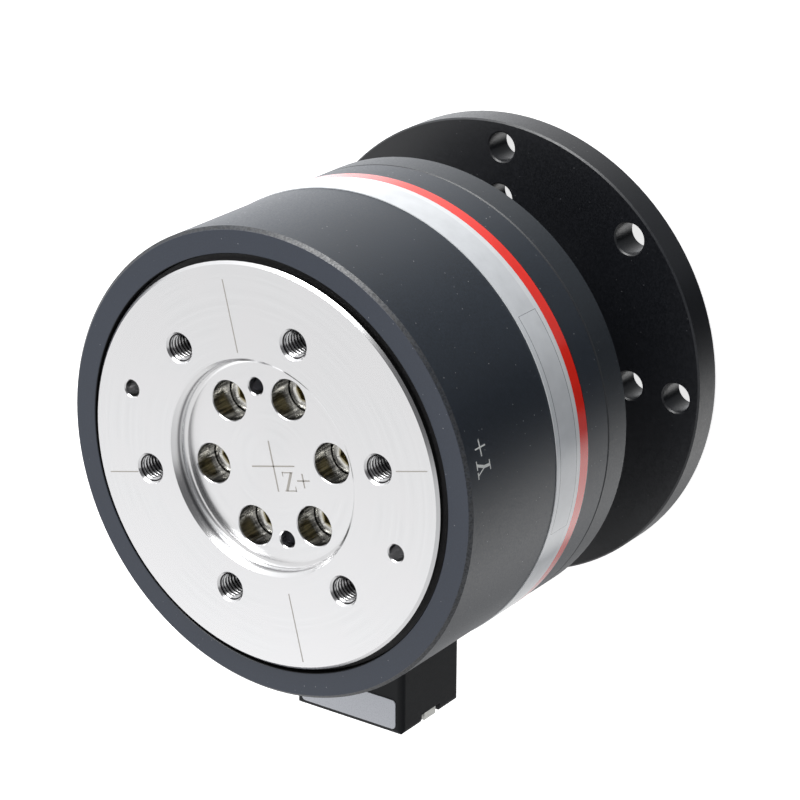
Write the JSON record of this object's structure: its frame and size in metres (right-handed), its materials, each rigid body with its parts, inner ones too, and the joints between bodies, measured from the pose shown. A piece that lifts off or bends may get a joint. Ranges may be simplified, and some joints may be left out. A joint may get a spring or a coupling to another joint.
{
  "type": "force torque sensor",
  "caption": "Six-axis force torque sensor: round tool plate in a dark sleeve, beam sensing element inside, side connector box and a necked adapter flange for the robot.",
  "frame": {"origin": "centre of the adapter flange's rear face, which bolts to the robot", "axes": "+Z along the sensor axis out of the tool plate; +Y towards the side engraved Y+; the connector box points near +X, turned 13.5 degrees towards -Y"},
  "size_m": [0.1036, 0.0884, 0.078],
  "materials": {
    "turned_aluminium": "fine turned",
    "screw_plated": "plated",
    "dark_steel": "blackened",
    "pin_steel": "ground",
    "seal_rubber": "matt",
    "sleeve_anodised": "bead blasted, anodised",
    "band_foil": "printed foil",
    "element_alloy": "milled",
    "gauge_foil": "foil on film",
    "board_green": "solder mask",
    "chip_black": "moulded",
    "capacitor_tan": "ceramic",
    "can_metal": "drawn",
    "header_nylon": "moulded",
    "ribbon_film": "film",
    "standoff_brass": "plain",
    "base_anodised": "bead blasted, anodised",
    "flange_anodised": "black anodised",
    "box_black": "moulded",
    "sticker_white": "blank",
    "shell_nickel": "nickel plated",
    "insert_black": "moulded",
    "contact_gold": "gold plated"
  },
  "bodies": {
    "root": {"tool_plate": "turned_aluminium", "hub_screws": "screw_plated", "hub_dowels": "dark_steel", "dust_seal": "seal_rubber", "housing_sleeve": "sleeve_anodised", "printed_band": "band_foil", "sensing_element": "element_alloy", "strain_gauges": "gauge_foil", "overload_pins": "pin_steel", "bridge_board": "board_green", "bridge_header": "header_nylon", "bridge_ribbon": "ribbon_film", "base_plate": "base_anodised", "rim_screws": "dark_steel", "sleeve_screws": "dark_steel", "base_seal": "seal_rubber", "signal_board": "board_green", "board_chips": "chip_black", "board_capacitors": "capacitor_tan", "crystal_can": "can_metal", "bridge_socket": "header_nylon", "cable_socket": "header_nylon", "board_standoffs": "standoff_brass", "board_screws": "pin_steel", "cable_ribbon": "ribbon_film", "adapter_flange": "flange_anodised", "adapter_screws": "dark_steel", "adapter_dowels": "pin_steel", "connector_box": "box_black", "box_gasket": "seal_rubber", "box_screws": "pin_steel", "box_sticker": "sticker_white", "connector_shell": "shell_nickel", "connector_insert": "insert_black", "connector_contacts": "contact_gold", "connector_screws": "pin_steel"}
  },
  "joints": []
}
